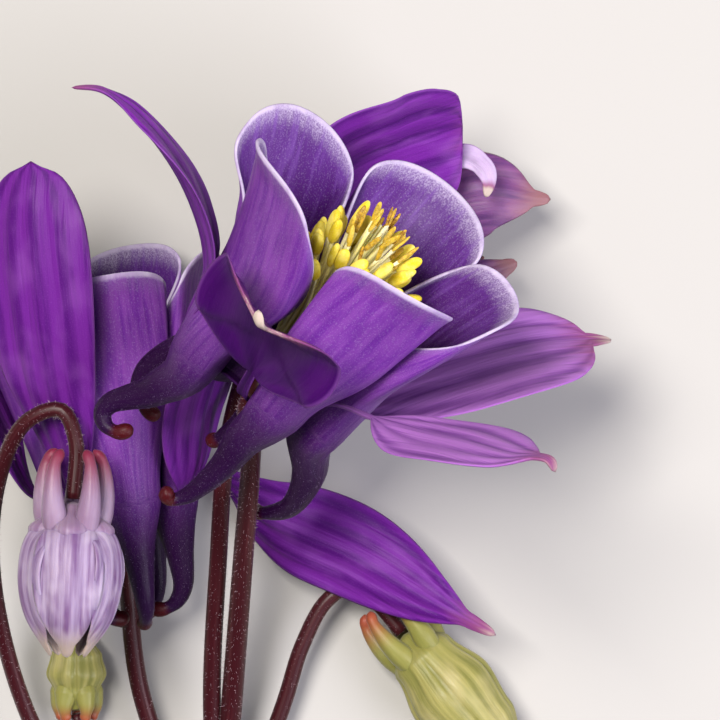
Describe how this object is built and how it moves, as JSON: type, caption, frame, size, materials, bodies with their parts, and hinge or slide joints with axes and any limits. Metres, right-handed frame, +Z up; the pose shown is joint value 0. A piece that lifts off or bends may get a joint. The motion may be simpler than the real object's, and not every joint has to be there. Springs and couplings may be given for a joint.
{
  "type": "columbine plant",
  "caption": "Cut flowering stem of a columbine plant, lying down: open violet bloom with hooked spurs, a lower bloom, a nodding young bloom, buds and lobed leaves.",
  "frame": {"origin": "flat spot on the underside of the main stem, where it lies on the surface", "axes": "+Y along the lying stem from its cut end to the blooms, +Z up off the surface, +X to the right of the stem seen from above"},
  "size_m": [0.0757, 0.1256, 0.0567],
  "materials": {
    "petal": "satin, violet petal tissue with a pale margin",
    "sepal": "satin, purple sepal tissue with fine ridges",
    "anther": "matt, mealy yellow pollen",
    "stem": "satin, dark red skin with short pale hairs",
    "leaf": "matt, grey-green leaf",
    "bud": "satin, yellow-green bud tissue",
    "young_petal": "satin, whitish lilac tissue of a young bloom"
  },
  "bodies": {
    "root": {"petal_1": "petal", "petal_2": "petal", "petal_3": "petal", "petal_4": "petal", "petal_5": "petal", "sepal_1": "sepal", "sepal_2": "sepal", "sepal_3": "sepal", "sepal_4": "sepal", "sepal_5": "sepal", "stamens": "anther", "left_bloom": "petal", "left_stamens": "anther", "half_open_bloom": "sepal", "young_bloom": "young_petal", "nodding_bud": "bud", "small_bud": "bud", "stem": "stem", "leaf_left": "leaf", "leaf_right": "leaf"}
  },
  "joints": []
}
